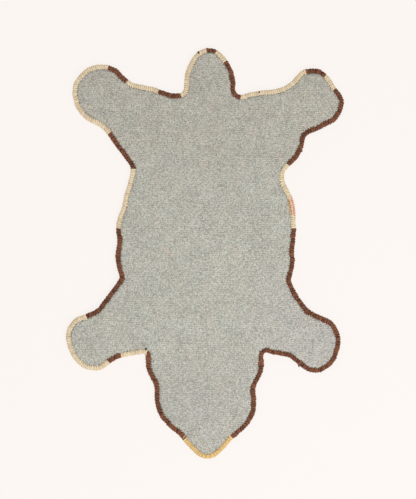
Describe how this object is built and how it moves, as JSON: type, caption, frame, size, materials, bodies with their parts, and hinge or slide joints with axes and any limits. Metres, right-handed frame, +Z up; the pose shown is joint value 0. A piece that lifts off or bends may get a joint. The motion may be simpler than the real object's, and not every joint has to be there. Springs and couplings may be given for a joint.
{
  "type": "animal shaped kids rug",
  "caption": "Small tufted wool rug in the outline of an animal's skin, lying on its pile with the backing cloth up and a thick whipped yarn edge in brown, cream and ochre.",
  "frame": {"origin": "on the floor, under the middle of the outline's box", "axes": "+Z up, from the pile to the backing; +Y from the head to the tail; +X across, to the right when the tail is at the top"},
  "size_m": [0.608, 0.8989, 0.0132],
  "materials": {
    "wool_pile": "short cut wool pile, matt",
    "backing_cloth": "marled blue-grey and beige plain weave, matt",
    "brown_yarn": "whipped wool yarn, matt",
    "cream_yarn": "whipped wool yarn, matt",
    "ochre_yarn": "whipped wool yarn, matt"
  },
  "bodies": {
    "root": {"tufted_layer": "wool_pile", "backing_cloth": "backing_cloth", "edge_brown_tail_tip": "brown_yarn", "edge_cream_tail_left": "cream_yarn", "edge_brown_rump_left": "brown_yarn", "edge_cream_rump_left": "cream_yarn", "edge_brown_hind_paw_left": "brown_yarn", "edge_cream_hind_paw_left": "cream_yarn", "edge_brown_thigh_left": "brown_yarn", "edge_cream_flank_left": "cream_yarn", "edge_brown_flank_left": "brown_yarn", "edge_cream_fore_paw_left": "cream_yarn", "edge_brown_fore_leg_left": "brown_yarn", "edge_cream_shoulder_left": "cream_yarn", "edge_brown_cheek_left": "brown_yarn", "edge_ochre_nose": "ochre_yarn", "edge_brown_head_and_flank_right": "brown_yarn", "edge_cream_flank_right": "cream_yarn", "edge_brown_hind_leg_right": "brown_yarn", "edge_cream_hind_paw_right": "cream_yarn", "edge_brown_hind_paw_right": "brown_yarn", "edge_cream_rump_right": "cream_yarn", "edge_brown_tail_right": "brown_yarn", "edge_cream_tail_right": "cream_yarn"}
  },
  "joints": []
}
